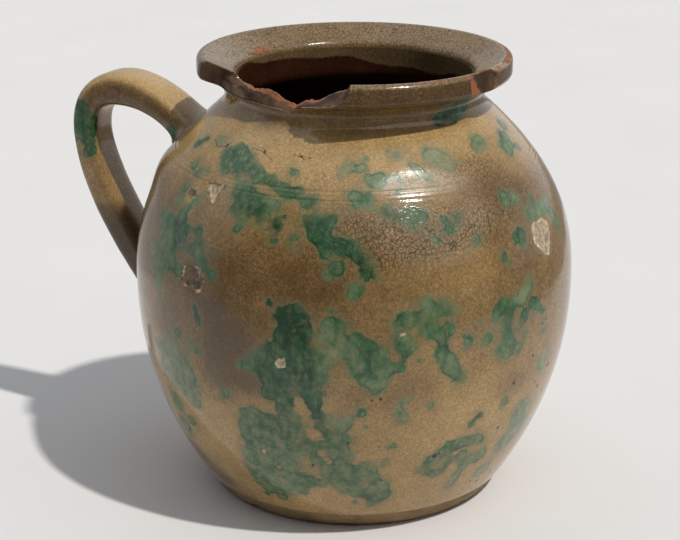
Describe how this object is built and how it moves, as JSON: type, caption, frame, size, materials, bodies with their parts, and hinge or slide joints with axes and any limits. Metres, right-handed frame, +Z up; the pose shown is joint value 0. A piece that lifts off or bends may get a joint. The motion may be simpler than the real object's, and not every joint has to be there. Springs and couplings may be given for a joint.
{
  "type": "fermenting crock",
  "caption": "Globular glazed earthenware crock with a broad dished rim, a short neck and a pulled strap handle, for fermenting and storing food; the rim is broken.",
  "frame": {"origin": "middle of the resting face, under the jar's axis", "axes": "+Z up along the jar's axis, -X towards the handle, +Y completes the right-handed set"},
  "size_m": [0.3399, 0.2782, 0.28],
  "materials": {
    "clay": "matte",
    "slip": "matte",
    "honey_glaze": "gloss",
    "brown_glaze": "gloss",
    "copper_green": "gloss"
  },
  "bodies": {
    "root": {"floor_disc": "clay", "belly_wall": "clay", "shoulder_wall": "clay", "rim_flange": "clay", "handle_strap": "clay", "upper_lute": "slip", "lower_lute": "slip", "slip_coat": "slip", "outer_glaze": "honey_glaze", "handle_glaze": "honey_glaze", "inner_glaze": "brown_glaze", "copper_splashes": "copper_green"}
  },
  "joints": []
}
